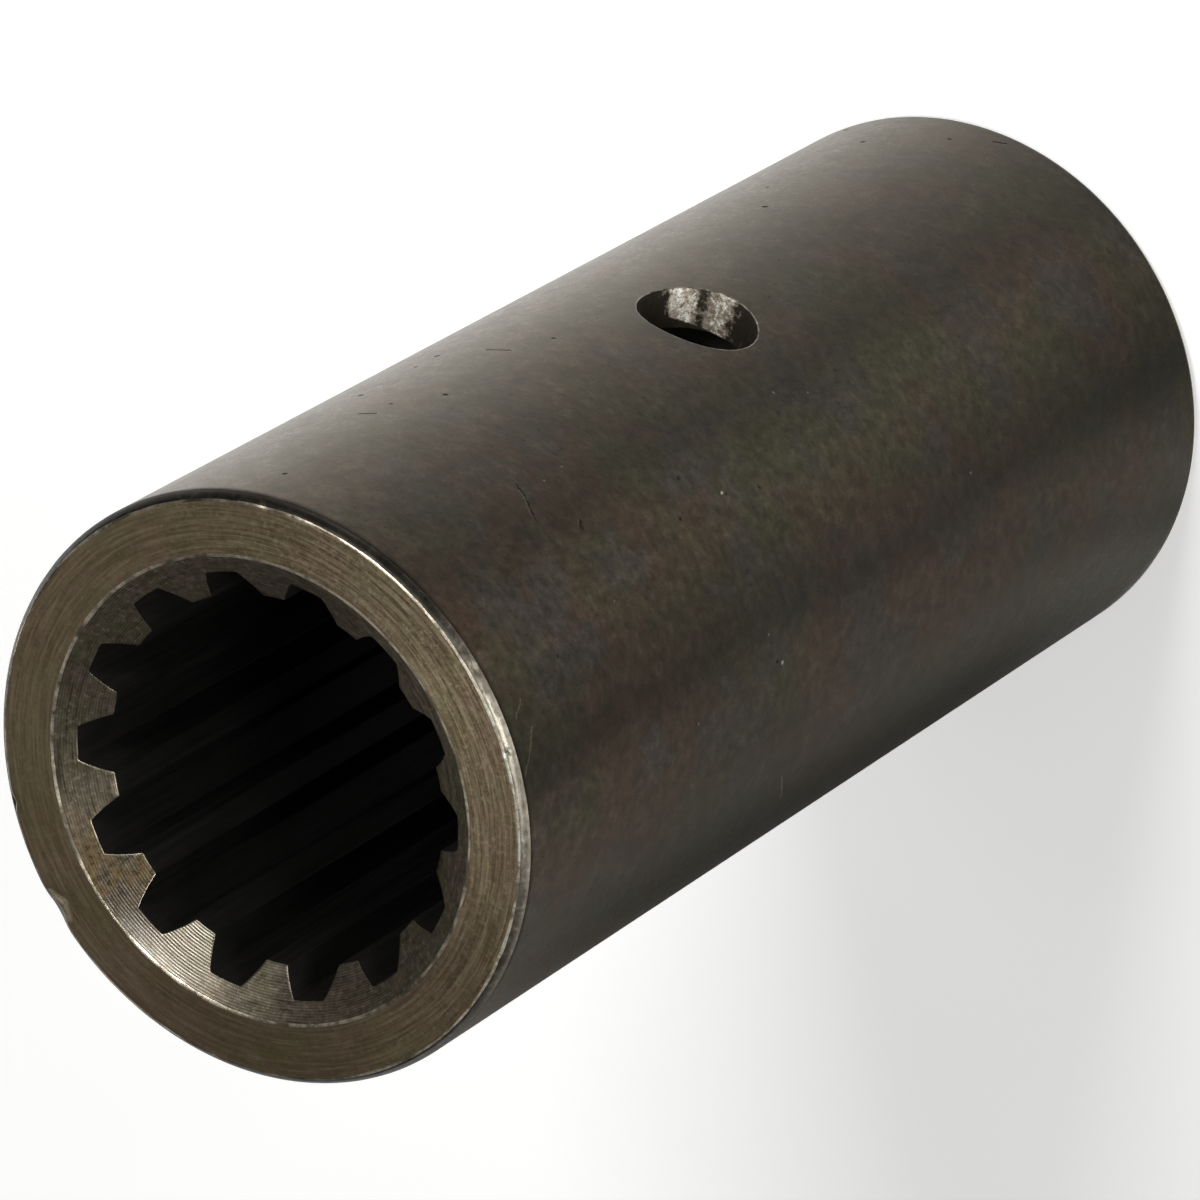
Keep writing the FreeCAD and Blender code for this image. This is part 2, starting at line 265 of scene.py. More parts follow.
def hole_cutter():
    """A drilled hole's own surface: torn along its axis, a little uneven, its mouth broken where it meets the outside."""
    around = 200
    phi = np.linspace(0, 2 * math.pi, around, endpoint=False)
    tear = ring_noise(phi, 14, 90, 5, 0.15)
    slow = ring_noise(phi, 3, 9, 6)
    second = ring_noise(phi, 20, 80, 8, 0.1)
    rings = []

    def ring(depth, grow):
        mix = min(max((depth - 0.2) / 2.4, 0.0), 1.0)
        rough = 0.026 * ((1 - mix) * tear + mix * second) + 0.014 * slow
        fade = min(max((depth - 0.03) / 0.3, 0.0), 1.0)
        radius = HOLE - 0.085 + grow + rough * fade + 0.012 * ring_noise(phi, 5, 40, 9) * (1 - fade)
        x, z = radius * np.cos(phi), radius * np.sin(phi)
        y = -np.sqrt(OUTER ** 2 - x ** 2) + depth
        rings.append(np.stack([x, y, z + HOLE_Z], -1))

    wide, deep = 0.085, 0.045                         # worn round, wider than deep
    ring(-1.2, wide + 0.1)
    ring(-0.02, wide + 0.05)
    for a in (0, 25, 50, 72, 90):
        t = math.radians(a)
        ring(deep * (1 - math.cos(t)), wide * (1 - math.sin(t)))
    for depth in (0.25, 0.4, 0.6, 0.85, 1.1, 1.4, 1.7, 2.0, 2.3, 2.6, 2.9, 3.2, 3.7):
        ring(depth, 0.0)
    pts = np.array(rings)
    count = len(rings)
    index = np.arange(count * around).reshape(count, around)
    a, b_ = index[:-1], np.roll(index, -1, 1)[:-1]
    c, d = np.roll(index, -1, 1)[1:], index[1:]
    faces = [tuple(q) for q in np.stack([d, c, b_, a], -1).reshape(-1, 4).tolist()]
    flat = pts.reshape(-1, 3)
    first, last = len(flat), len(flat) + 1
    flat = np.vstack([flat, [0, pts[0, :, 1].mean(), HOLE_Z], [0, pts[-1, :, 1].mean(), HOLE_Z]])
    for j in range(around):
        k = (j + 1) % around
        faces.append((int(index[0, j]), int(index[0, k]), first))
        faces.append((int(index[-1, k]), int(index[-1, j]), last))
    mesh = bpy.data.meshes.new("hole_cutter")
    mesh.from_pydata((flat * MM).tolist(), [], faces)
    slots = np.full(len(faces), WALL, np.int32)
    slots[:6 * around] = BREAK                        # the broken mouth
    mesh.polygons.foreach_set("material_index", slots)
    mesh.update()
    return mesh


# ---------------------------------------------------------------------------------------------
# Materials
# ---------------------------------------------------------------------------------------------
class Nodes:
    """Builds a node material. Vectors and heights are in millimetres."""

    def __init__(self, name):
        self.mat = bpy.data.materials.new(name)
        self.mat.use_nodes = True
        self.tree = self.mat.node_tree
        self.tree.nodes.clear()
        self.out = self.tree.nodes.new("ShaderNodeOutputMaterial")
        self.bsdf = self.tree.nodes.new("ShaderNodeBsdfPrincipled")
        self.tree.links.new(self.bsdf.outputs["BSDF"], self.out.inputs["Surface"])
        coord = self.tree.nodes.new("ShaderNodeTexCoord")
        self.p = self.vec("SCALE", coord.outputs["Object"], scale=1000.0)
        self.x, self.y, self.z = self.split(self.p)

    def put(self, socket, value):
        if isinstance(value, bpy.types.NodeSocket):
            self.tree.links.new(value, socket)
        else:
            socket.default_value = value

    def math(self, op, a, b=None, c=None, clamp=False):
        n = self.tree.nodes.new("ShaderNodeMath")
        n.operation = op
        n.use_clamp = clamp
        for socket, value in zip(n.inputs, (a, b, c)):
            if value is not None:
                self.put(socket, value)
        return n.outputs[0]

    def vec(self, op, a, b=None, scale=None):
        n = self.tree.nodes.new("ShaderNodeVectorMath")
        n.operation = op
        self.put(n.inputs[0], a)
        if b is not None:
            self.put(n.inputs[1], b)
        if scale is not None:
            self.put(n.inputs["Scale"], scale)
        return n.outputs["Value"] if op in ("LENGTH", "DOT_PRODUCT", "DISTANCE") else n.outputs["Vector"]

    def split(self, v):
        n = self.tree.nodes.new("ShaderNodeSeparateXYZ")
        self.put(n.inputs[0], v)
        return n.outputs[0], n.outputs[1], n.outputs[2]

    def join(self, x, y, z):
        n = self.tree.nodes.new("ShaderNodeCombineXYZ")
        for socket, value in zip(n.inputs, (x, y, z)):
            self.put(socket, value)
        return n.outputs[0]

    def noise(self, vector, scale, detail=2.0, rough=0.5, distort=0.0):
        n = self.tree.nodes.new("ShaderNodeTexNoise")
        self.put(n.inputs["Vector"], vector)
        self.put(n.inputs["Scale"], scale)
        self.put(n.inputs["Detail"], detail)
        self.put(n.inputs["Roughness"], rough)
        self.put(n.inputs["Distortion"], distort)
        return n.outputs[0]

    def cells(self, vector, scale, feature="F1"):
        n = self.tree.nodes.new("ShaderNodeTexVoronoi")
        n.feature = feature
        self.put(n.inputs["Vector"], vector)
        self.put(n.inputs["Scale"], scale)
        return n

    def span(self, value, a, b, c=0.0, d=1.0, smooth=False):
        n = self.tree.nodes.new("ShaderNodeMapRange")
        n.interpolation_type = "SMOOTHSTEP" if smooth else "LINEAR"
        n.clamp = True
        for socket, v in zip(n.inputs, (value, a, b, c, d)):
            self.put(socket, v)
        return n.outputs[0]

    def mix(self, factor, a, b, blend="MIX"):
        n = self.tree.nodes.new("ShaderNodeMix")
        n.data_type = "RGBA"
        n.blend_type = blend
        self.put(n.inputs[0], factor)
        for socket, v in ((n.inputs[6], a), (n.inputs[7], b)):
            self.put(socket, v if isinstance(v, bpy.types.NodeSocket) else (*v, 1.0))
        return n.outputs[2]

    def add(self, *values):
        total = values[0]
        for v in values[1:]:
            total = self.math("ADD", total, v)
        return total

    def mul(self, *values):
        total = values[0]
        for v in values[1:]:
            total = self.math("MULTIPLY", total, v)
        return total

    def radius(self):
        return self.vec("LENGTH", self.join(self.x, self.y, 0.0))

    def angle(self):
        """Angle round the axis from -Y towards +X, in radians."""
        return self.math("ARCTAN2", self.x, self.math("MULTIPLY", self.y, -1.0))

    def ramp(self, value, stops):
        """Smooth curve through (place, level) pairs, with places from 0 to 1."""
        n = self.tree.nodes.new("ShaderNodeValToRGB")
        n.color_ramp.interpolation = "CARDINAL"
        points = n.color_ramp.elements
        while len(points) < len(stops):
            points.new(0.5)
        for point, (place, level) in zip(points, stops):
            point.position = place
            point.color = (level, level, level, 1.0)
        self.put(n.inputs[0], value)
        return n.outputs[0]

    def by_angle(self, degrees, stops):
        """Level for each angle round the axis, from -180 to 180 degrees."""
        return self.ramp(self.math("MULTIPLY_ADD", degrees, 1 / 360, 0.5), [((d + 180) / 360, level) for d, level in stops])

    def mark(self, spot, a, b, width):
        """Mask of a thin straight mark from a to b, in millimetres. spot is the place as a vector, its third part 0."""
        start, run = Vector((*a, 0.0)), Vector((b[0] - a[0], b[1] - a[1], 0.0))
        d = self.vec("SUBTRACT", spot, start)
        t = self.math("MULTIPLY", self.vec("DOT_PRODUCT", d, run), 1 / run.length_squared, clamp=True)
        n = self.tree.nodes.new("ShaderNodeVectorMath")
        n.operation = "SCALE"
        n.inputs[0].default_value = run
        self.put(n.inputs["Scale"], t)
        far = self.vec("DISTANCE", d, n.outputs["Vector"])
        return self.span(far, width * 0.3, width, 1.0, 0.0, smooth=True)

    def bump(self, height, strength=1.0):
        n = self.tree.nodes.new("ShaderNodeBump")
        n.inputs["Strength"].default_value = strength
        n.inputs["Distance"].default_value = MM
        self.put(n.inputs["Height"], height)
        self.put(self.bsdf.inputs["Normal"], n.outputs["Normal"])

    def finish(self, colour, roughness, metallic=1.0):
        self.put(self.bsdf.inputs["Base Color"], colour)
        self.put(self.bsdf.inputs["Roughness"], roughness)
        self.bsdf.inputs["Metallic"].default_value = metallic
        return self.mat


def darkened_steel():
    """Outside of the sleeve: ground, dark, lightly oiled, with faint painted reflection bands along it, clouds, fine
    grain and small marks.
    """
    m = Nodes("darkened_steel")
    turn = m.mul(m.angle(), 180 / math.pi)
    drift = m.noise(m.join(m.mul(m.x, 0.03), m.mul(m.y, 0.03), m.mul(m.z, 0.05)), 1.0, 1.0)
    cloud = m.noise(m.p, 0.09, 3.0, 0.6)
    cloud_b = m.noise(m.vec("ADD", m.p, (31.0, 7.0, 12.0)), 0.16, 3.0, 0.55)
    patch = m.noise(m.vec("ADD", m.p, (3.0, 50.0, 5.0)), 0.60, 4.0, 0.88)
    grain = m.noise(m.p, 2.6, 3.0, 0.65)
    blot = m.noise(m.vec("ADD", m.p, (17.0, 4.0, 29.0)), 1.3, 0.0)
    # painted reflection and shade: bands along the sleeve, lighter and darker by angle round the axis
    painted_reflection_bands = m.by_angle(m.add(turn, m.mul(m.math("SUBTRACT", drift, 0.5), 14.0)),
                      [(-180, .58), (-150, .52), (-124, .54), (-117, .62), (-108, .59), (-99, .53), (-95, .51), (-85, .60), (-76, .72), (-68, .58), (-61, .27),
                       (-56, .35), (-50, .46), (-43, .60), (-36, .68), (-29, .55), (-22, .35), (-12, .40), (4, .42),
                       (42, .42), (62, .47), (84, .60), (98, .66), (112, .50), (130, .52), (150, .64), (180, .58)])
    colour = m.mix(m.span(cloud, 0.42, 0.58), (0.0264, 0.0256, 0.0142), (0.0352, 0.0216, 0.0150))
    colour = m.mix(m.mul(m.span(cloud_b, 0.50, 0.60), 0.80), colour, (0.0266, 0.0236, 0.0216))
    # on the upper side, from about 0 to 50 degrees round the axis, the clouds and grain are mixed in more strongly
    upper_side_contrast = m.mul(m.by_angle(turn, [(-180, .5), (-22, .5), (2, .76), (48, .84), (75, .5), (180, .5)]), 2.0)
    colour = m.mix(m.mul(m.span(patch, 0.50, 0.66), 0.60, upper_side_contrast), colour, (0.0165, 0.0142, 0.0085))
    colour = m.mix(m.mul(m.span(patch, 0.48, 0.33), 0.58, upper_side_contrast), colour, (0.0460, 0.0400, 0.0260))
    colour = m.mix(m.mul(m.span(grain, 0.54, 0.72), 0.40, upper_side_contrast), colour, (0.0640, 0.0550, 0.0400))
    colour = m.mix(m.mul(m.span(grain, 0.46, 0.30), 0.46, upper_side_contrast), colour, (0.0090, 0.0080, 0.0060))
    fall = m.ramp(m.math("MULTIPLY", m.z, 1 / LENGTH), [(0.0, .88), (0.18, .86), (0.45, .95), (0.75, .98), (0.90, 1.06), (0.989, 1.06), (0.994, .35)])
    colour = m.mix(1.0, colour, m.mul(m.mul(painted_reflection_bands, 2.0), fall, m.span(blot, 0.30, 0.70, 0.82, 1.18)), "MULTIPLY")
    # ragged and darker at the lower edge
    colour = m.mix(m.mul(m.span(m.z, 1.5, 0.5), m.span(grain, 0.56, 0.42), 0.70), colour, (0.010, 0.009, 0.008))
    # pits, few and small
    cell = m.cells(m.p, 0.22)
    keep = m.span(m.split(cell.outputs["Color"])[0], 0.62, 0.63)
    pit = m.mul(m.span(m.mul(cell.outputs["Distance"], 1 / 0.22), 0.05, 0.16, 1.0, 0.0, True), keep)
    cell2 = m.cells(m.vec("ADD", m.p, (9.0, 2.0, 4.0)), 0.5)
    tone = m.split(cell2.outputs["Color"])
    near = m.span(m.mul(cell2.outputs["Distance"], 1 / 0.5), 0.03, 0.11, 1.0, 0.0, True)
    speck = m.mul(near, m.span(tone[1], 0.74, 0.75))
    bright = m.mul(near, m.span(tone[1], 0.07, 0.06))
    # marks in their places: along the surface round the axis, and height
    clean_spot = m.join(m.mul(m.angle(), OUTER), m.z, 0.0)
    ragged = m.mul(m.math("SUBTRACT", patch, 0.5), 0.5)
    ragged_spot = m.vec("ADD", clean_spot, m.join(ragged, ragged, 0.0))
    dots_light = [(-10.60, 52.51, 0.16), (-21.21, 52.50, 0.17)]
    dots_pale = [(-21.68, 62.14, 0.12), (-4.78, 64.74, 0.10), (-4.55, 62.55, 0.10), (-7.04, 42.03, 0.12), (-12.74, 66.76, 0.10),
                 (-17.16, 28.37, 0.10), (-19.16, 53.58, 0.10), (-8.06, 39.39, 0.10)]
    dots_dark = [(-8.64, 55.09, 0.21), (-10.65, 57.33, 0.19), (-11.45, 49.06, 0.20), (-13.81, 73.76, 0.18), (-20.97, 53.03, 0.18),
                 (-10.83, 52.20, 0.15)]
    pits = [(6.00, 21.72, 0.26), (11.62, 1.89, 0.25), (9.72, 61.86, 0.22), (9.51, 53.90, 0.24), (7.55, 6.71, 0.23),
            (4.40, 61.14, 0.22), (2.88, 3.99, 0.20), (4.24, 49.52, 0.18), (8.34, 17.36, 0.16), (5.08, 76.91, 0.20),
            (9.59, 56.13, 0.18), (6.39, 63.80, 0.15)]
    light = [((-31.6, 49.0), (-29.3, 50.6), 0.10)]
    faint = [((-4.50, 67.10), (-6.35, 68.22), 0.05), ((-14.79, 78.46), (-15.58, 79.48), 0.07),
             ((-16.47, 78.36), (-18.0, 79.55), 0.08), ((-18.0, 79.55), (-18.79, 80.25), 0.07), ((-7.80, 65.25), (-8.10, 65.5), 0.05)]
    dark = [((-4.16, 66.78), (-4.95, 67.25), 0.12), ((-5.35, 67.45), (-6.62, 68.13), 0.11), ((-7.90, 65.10), (-8.45, 65.50), 0.20)]
    cuts = [((6.68, 52.92), (5.32, 52.60), 0.11), ((7.21, 65.92), (6.24, 65.65), 0.11), ((0.73, 2.09), (0.09, 1.65), 0.12)]

    def marks(items, spot=ragged_spot):
        total = None
        for a, b, w in items:
            one = m.mark(spot, a, b, w)
            total = one if total is None else m.math("MAXIMUM", total, one)
        return total

    def dots(items, spot=ragged_spot):
        total = None
        for x, z, size in items:
            one = m.span(m.vec("DISTANCE", spot, (x, z, 0.0)), size * 0.35, size, 1.0, 0.0)
            total = one if total is None else m.math("MAXIMUM", total, one)
        return total

    hollow = m.math("MAXIMUM", dots(pits, clean_spot), marks(cuts, clean_spot))
    sunk = m.math("MAXIMUM", marks(dark), dots(dots_dark))
    colour = m.mix(m.mul(m.math("MAXIMUM", pit, speck), 0.75), colour, (0.010, 0.009, 0.008))
    colour = m.mix(m.mul(m.math("MAXIMUM", m.mul(bright, 0.30), m.mul(marks(faint), 0.22)), 1.0), colour, (0.20, 0.175, 0.135))
    sunk = m.math("MAXIMUM", m.mul(sunk, m.span(grain, 0.62, 0.45, 0.50, 0.95)), hollow)
    colour = m.mix(sunk, colour, (0.004, 0.004, 0.003))
    pale = m.math("MAXIMUM", dots(dots_light), m.mul(m.math("MAXIMUM", marks(light), dots(dots_pale)), 0.35))
    colour = m.mix(pale, colour, (0.34, 0.31, 0.25))
    rough = m.add(0.235, m.mul(m.span(grain, 0.3, 0.7), 0.07), m.mul(m.span(patch, 0.3, 0.7), 0.06), m.mul(pit, 0.2), m.mul(sunk, 0.35), m.span(m.z, 80.0, 80.3, 0.0, 0.22))
    height = m.add(m.mul(grain, 0.0060), m.mul(hollow, -0.07))
    m.bump(height)
    m.bsdf.inputs["Specular Tint"].default_value = (0.95, 0.92, 0.86, 1.0)
    return m.finish(colour, rough)


def turned_marks(m, pitch_scale, run, detail=3.0):
    """Concentric tool marks, broken along their run, as noise on the radius."""
    r = m.radius()
    return m.noise(m.join(m.mul(r, pitch_scale), m.mul(m.x, run), m.mul(m.y, run)), 1.0, detail, 0.6)


def turned_face():
    """End faces: turned, brownish oiled steel with arcs of tool marks."""
    m = Nodes("turned_face")
    fine = turned_marks(m, 7.0, 0.30, 2.0)
    wide = turned_marks(m, 1.9, 0.16, 2.0)
    cloud = m.noise(m.p, 0.22, 3.0, 0.6)
    patch = m.noise(m.vec("ADD", m.p, (8.0, 3.0, 1.0)), 0.8, 4.0, 0.68)
    grain = m.noise(m.p, 3.6, 3.0, 0.65)
    turn = m.mul(m.angle(), 180 / math.pi)
    # painted highlight: lighter on the side facing the front light, by angle round the axis
    painted_highlight = m.by_angle(turn, [(-180, .44), (-160, .48), (-145, .52), (-128, .66), (-105, .70), (-85, 1.0), (-58, 1.04),
                               (-35, .88), (-18, .65), (0, .56), (14, .50), (25, .55), (36, .55), (60, .57), (95, .58), (120, .53),
                               (145, .50), (165, .44), (180, .44)])
    colour = m.mix(m.span(cloud, 0.38, 0.62), (0.232, 0.190, 0.105), (0.262, 0.186, 0.124))
    # painted sheen: the tool marks and grain stand out by angle round the axis, most from about -60 to 0 degrees
    clear = m.by_angle(turn, [(-180, .34), (-140, .40), (-122, .62), (-100, .74), (-60, .92), (0, 1.0), (18, .60), (40, .42),
                              (100, .38), (150, .36), (180, .34)])
    colour = m.mix(m.mul(m.span(patch, 0.48, 0.66), 0.50), colour, (0.140, 0.106, 0.063))
    colour = m.mix(m.mul(m.span(patch, 0.46, 0.30), 0.42), colour, (0.340, 0.295, 0.190))
    colour = m.mix(m.mul(m.span(fine, 0.51, 0.66), 0.54, clear), colour, (0.440, 0.370, 0.250))
    colour = m.mix(m.mul(m.span(fine, 0.49, 0.35), 0.50, clear), colour, (0.080, 0.060, 0.036))
    colour = m.mix(m.mul(m.span(grain, 0.55, 0.70), 0.54, clear), colour, (0.480, 0.420, 0.300))
    colour = m.mix(m.mul(m.span(grain, 0.45, 0.31), 0.48, clear), colour, (0.060, 0.045, 0.028))
    colour = m.mix(1.0, colour, m.mul(painted_highlight, 1.40), "MULTIPLY")
    # the chip in the outer edge is bare
    spot = m.join(m.x, m.y, 0.0)
    chip = m.math("MAXIMUM", m.mark(spot, at(16.90, 137.6, 0)[:2], at(16.35, 140.6, 0)[:2], 0.36),
                  m.mul(m.mark(spot, at(16.4, 140.6, 0)[:2], at(16.65, 143.6, 0)[:2], 0.36), 0.5))
    colour = m.mix(m.mul(chip, m.span(grain, 0.40, 0.52, 0.5, 0.9)), colour, (0.52, 0.45, 0.32))
    rough = m.add(0.38, m.mul(m.span(fine, 0.3, 0.7), 0.10), m.mul(m.span(patch, 0.3, 0.7), 0.10))
    m.bump(m.add(m.mul(fine, 0.008), m.mul(wide, 0.008), m.mul(grain, 0.008)))
    m.bsdf.inputs["Anisotropic"].default_value = 0.25
    m.bsdf.inputs["Anisotropic Rotation"].default_value = 0.25
    tangent = m.tree.nodes.new("ShaderNodeTangent")
    tangent.direction_type = "RADIAL"
    tangent.axis = "Z"
    m.put(m.bsdf.inputs["Tangent"], tangent.outputs[0])
    return m.finish(colour, rough)


def turned_cone():
    """Lead-in cones: bare, brighter, with a regular tool pitch, and painted light and shade round the axis."""
    m = Nodes("turned_cone")
    r = m.radius()
    wander = m.noise(m.join(m.mul(m.x, 0.3), m.mul(m.y, 0.3), 0.0), 1.0, 2.0)
    wave = m.math("SINE", m.math("MULTIPLY_ADD", r, 2 * math.pi / 0.14, m.mul(wander, 9.0)))
    fine = turned_marks(m, 6.0, 0.5)
    cloud = m.noise(m.p, 0.3, 3.0, 0.6)
    grain = m.noise(m.p, 3.0, 3.0, 0.65)
    colour = m.mix(m.span(cloud, 0.38, 0.62), (0.140, 0.128, 0.080), (0.184, 0.144, 0.112))
    mottle = m.noise(m.vec("ADD", m.p, (2.0, 9.0, 4.0)), 1.3, 3.0, 0.7)
    colour = m.mix(m.mul(m.span(mottle, 0.52, 0.36), 0.60), colour, (0.085, 0.070, 0.040))
    colour = m.mix(m.mul(m.span(fine, 0.48, 0.32), 0.7), colour, (0.07, 0.058, 0.040))
    colour = m.mix(m.mul(m.span(grain, 0.54, 0.68), 0.62), colour, (0.34, 0.295, 0.215))
    colour = m.mix(m.mul(m.span(grain, 0.44, 0.31), 0.55), colour, (0.05, 0.042, 0.030))
    turn = m.mul(m.angle(), 180 / math.pi)
    # painted sheen: the tool pitch stands out most from about 148 to 170 degrees round the axis, in the bright sector;
    # its bump is scaled the same way
    clear = m.mul(m.by_angle(turn, [(-180, .40), (-160, .24), (-120, .18), (0, .18), (95, .16), (122, .16), (136, .28), (148, .86), (170, 1.0), (180, .40)]),
                  m.span(grain, 0.30, 0.62, 0.45, 1.25))
    colour = m.mix(m.mul(m.span(wave, 0.2, -0.8), 0.80, clear), colour, (0.022, 0.018, 0.013))
    colour = m.mix(m.mul(m.span(wave, 0.2, 0.8), 0.60, clear), colour, (0.44, 0.41, 0.365))
    rusty = m.by_angle(turn, [(-180, .0), (120, .0), (130, .8), (145, .8), (152, 0.0), (180, .0)])
    colour = m.mix(m.mul(m.span(mottle, 0.40, 0.56), rusty, 0.65), colour, (0.230, 0.150, 0.058))
    colour = m.mix(m.mul(m.span(grain, 0.48, 0.34), rusty, 0.65), colour, (0.040, 0.030, 0.016))
    # painted highlight: a light strip along the mouth edge, from about 150 to 170 degrees round the axis
    painted_hot_highlight = m.mul(m.by_angle(turn, [(-180, .0), (147, .0), (153, 1.0), (165, 1.0), (172, 0.15), (180, .0)]), m.span(r, 12.9, 13.6))
    colour = m.mix(m.mul(painted_hot_highlight, m.span(grain, 0.36, 0.52, 0.08, 0.30)), colour, (0.44, 0.41, 0.35))
    # painted light and shade: the cone's colour is scaled up and down by angle round the axis
    lit = m.by_angle(turn, [(-180, .29), (-174, .28), (-167, .46), (-160, .40), (-140, .44), (-100, .54), (-75, .80), (-48, .90), (-25, .80),
                            (0, .54), (70, .48), (98, .50), (112, .40), (138, .39), (145, .33), (152, .34), (162, .40), (168, .36), (175, .33), (180, .29)])
    colour = m.mix(1.0, colour, m.mul(lit, 2.0), "MULTIPLY")
    rough = m.add(0.33, m.mul(m.span(fine, 0.3, 0.7), 0.12))
    m.bump(m.add(m.mul(wave, clear, 0.0040), m.mul(fine, 0.010), m.mul(grain, 0.006)))
    m.bsdf.inputs["Anisotropic"].default_value = 0.3
    m.bsdf.inputs["Anisotropic Rotation"].default_value = 0.25
    tangent = m.tree.nodes.new("ShaderNodeTangent")
    tangent.direction_type = "RADIAL"
    tangent.axis = "Z"
    m.put(m.bsdf.inputs["Tangent"], tangent.outputs[0])
    return m.finish(colour, rough)


def worn_edge():
    """Thin strips where corners have worn bare, with painted highlight by angle round the axis: the outer one brighter
    on one side than the other, the inner ones brighter in their own sector.
    """
    m = Nodes("worn_edge")
    wear = m.noise(m.p, 0.55, 4.0, 0.65)
    fine = m.noise(m.p, 3.0, 3.0, 0.6)
    turn = m.mul(m.angle(), 180 / math.pi)
    # painted highlight on the outer edge by angle round the axis, brightest on the side facing the front light
    painted_highlight = m.by_angle(turn, [(-180, .28), (-150, .27), (-110, .65), (-85, .92), (-60, .90), (-40, .70), (-24, .43), (-10, .26),
                               (0, .34), (12, .24), (25, .16), (40, .28), (55, .30), (70, .18), (90, .40), (115, .40),
                               (130, .26), (150, .30), (168, .48), (180, .30)])
    outer = m.span(m.radius(), 16.0, 16.1)
    # painted highlight on the inner edges by angle round the axis, brightest from about 130 to 170 degrees, weaker at
    # the bore than at the mouth
    mouth_painted_highlight = m.by_angle(turn, [(-180, .50), (-165, .50), (-150, .36), (-125, .36), (-100, .56), (-80, .86), (-30, .96), (-12, .70), (5, .50),
                               (90, .50), (108, .66), (130, .92), (150, .94), (166, 1.0), (180, .55)])
    mouth_painted_highlight = m.mul(mouth_painted_highlight, m.span(m.radius(), 13.2, 13.3, 0.34, 0.88))
    level = m.mul(m.math("MULTIPLY_ADD", outer, m.math("SUBTRACT", painted_highlight, mouth_painted_highlight), mouth_painted_highlight), 2.0)
    colour = m.mix(m.span(wear, 0.40, 0.58), (0.19, 0.165, 0.120), (0.74, 0.66, 0.52))
    colour = m.mix(m.mul(m.span(fine, 0.5, 0.3), 0.5), colour, (0.16, 0.14, 0.11))
    colour = m.mix(1.0, colour, level, "MULTIPLY")
    rough = m.add(0.28, m.mul(m.span(fine, 0.3, 0.7), 0.14))
    m.bump(m.mul(fine, 0.008))
    return m.finish(colour, rough)


def broken_edge():
    """The narrow sloped break round the outer edges: turned, dark, with faint short marks across it, and a painted
    highlight by angle round the axis.
    """
    m = Nodes("broken_edge")
    wear = m.noise(m.p, 0.35, 3.0, 0.6)
    fine = m.noise(m.p, 2.4, 3.0, 0.6)
    marks = m.noise(m.join(m.mul(m.x, 1.1), m.mul(m.y, 1.1), m.mul(m.z, 3.0)), 1.0, 3.0, 0.6)
    colour = m.mix(m.span(wear, 0.35, 0.65), (0.046, 0.041, 0.033), (0.072, 0.066, 0.054))
    colour = m.mix(m.mul(m.span(fine, 0.54, 0.70), 0.50), colour, (0.14, 0.125, 0.10))
    colour = m.mix(m.mul(m.span(fine, 0.46, 0.32), 0.50), colour, (0.024, 0.021, 0.017))
    turn = m.mul(m.angle(), 180 / math.pi)
    # painted highlight: the break is made several times lighter by angle round the axis, most on the side facing the
    # front light
    painted_highlight = m.by_angle(turn, [(-180, .13), (-155, .09), (-135, .05), (-118, .08), (-106, .22), (-96, .42), (-84, .55), (-72, .68), (-62, .40), (-55, .66), (-47, .86),
                               (-38, .54), (-28, .15), (-18, .08), (0, .06), (30, .08), (50, .06), (80, .09), (112, .09), (130, .12), (180, .13)])
    at_hole = m.span(m.math("ABSOLUTE", m.math("SUBTRACT", m.z, HOLE_Z)), 5.9, 6.0, 1.0, 0.0)
    at_hole = m.mul(at_hole, m.span(fine, 0.36, 0.60, 0.9, 3.0))
    colour = m.mix(1.0, colour, m.math("MAXIMUM", m.mul(painted_highlight, 5.4), at_hole), "MULTIPLY")
    rough = m.add(0.34, m.mul(m.span(fine, 0.3, 0.7), 0.12))
    m.bump(m.add(m.mul(fine, 0.014), m.mul(marks, 0.018)))
    return m.finish(colour, rough)


def broached_bore():
    """Inside: black, oily, with marks along the axis from the broach, and painted light near the mouths, lighter and
    rougher there.
    """
    m = Nodes("broached_bore")
    streak = m.noise(m.join(m.mul(m.x, 3.0), m.mul(m.y, 3.0), m.mul(m.z, 0.12)), 1.0, 3.0, 0.6)
    cloud = m.noise(m.p, 0.5, 4.0, 0.65)
    end = m.math("ABSOLUTE", m.math("SUBTRACT", m.z, MID))
    # painted light: lighter and rougher towards both mouths, where light falls into the bore
    painted_light_near_mouths = m.math("POWER", m.span(end, 12.0, 39.5), 1.6)
    colour = m.mix(m.span(streak, 0.35, 0.65), (0.013, 0.013, 0.013), (0.027, 0.0265, 0.026))
    colour = m.mix(m.mul(m.span(cloud, 0.48, 0.7), 0.5), colour, (0.020, 0.018, 0.0165))
    colour = m.mix(m.mul(painted_light_near_mouths, m.span(cloud, 0.2, 0.6, 0.55, 0.95)), colour, (0.050, 0.048, 0.044))
    relief = m.mul(m.span(m.radius(), 13.0, 13.1), m.span(end, 8.0, 7.9))
    colour = m.mix(relief, colour, (0.075, 0.071, 0.066))
    cell = m.cells(m.p, 0.35)
    keep = m.span(m.split(cell.outputs["Color"])[0], 0.9, 0.91)
    speck = m.mul(m.span(m.mul(cell.outputs["Distance"], 1 / 0.35), 0.05, 0.13, 1.0, 0.0, True), keep)
    colour = m.mix(speck, colour, (0.55, 0.52, 0.45))
    rough = m.add(0.44, m.mul(m.span(streak, 0.3, 0.7), 0.10), m.mul(painted_light_near_mouths, 0.12))
    m.bump(m.add(m.mul(streak, 0.010), m.mul(cloud, 0.010)))
    return m.finish(colour, rough)


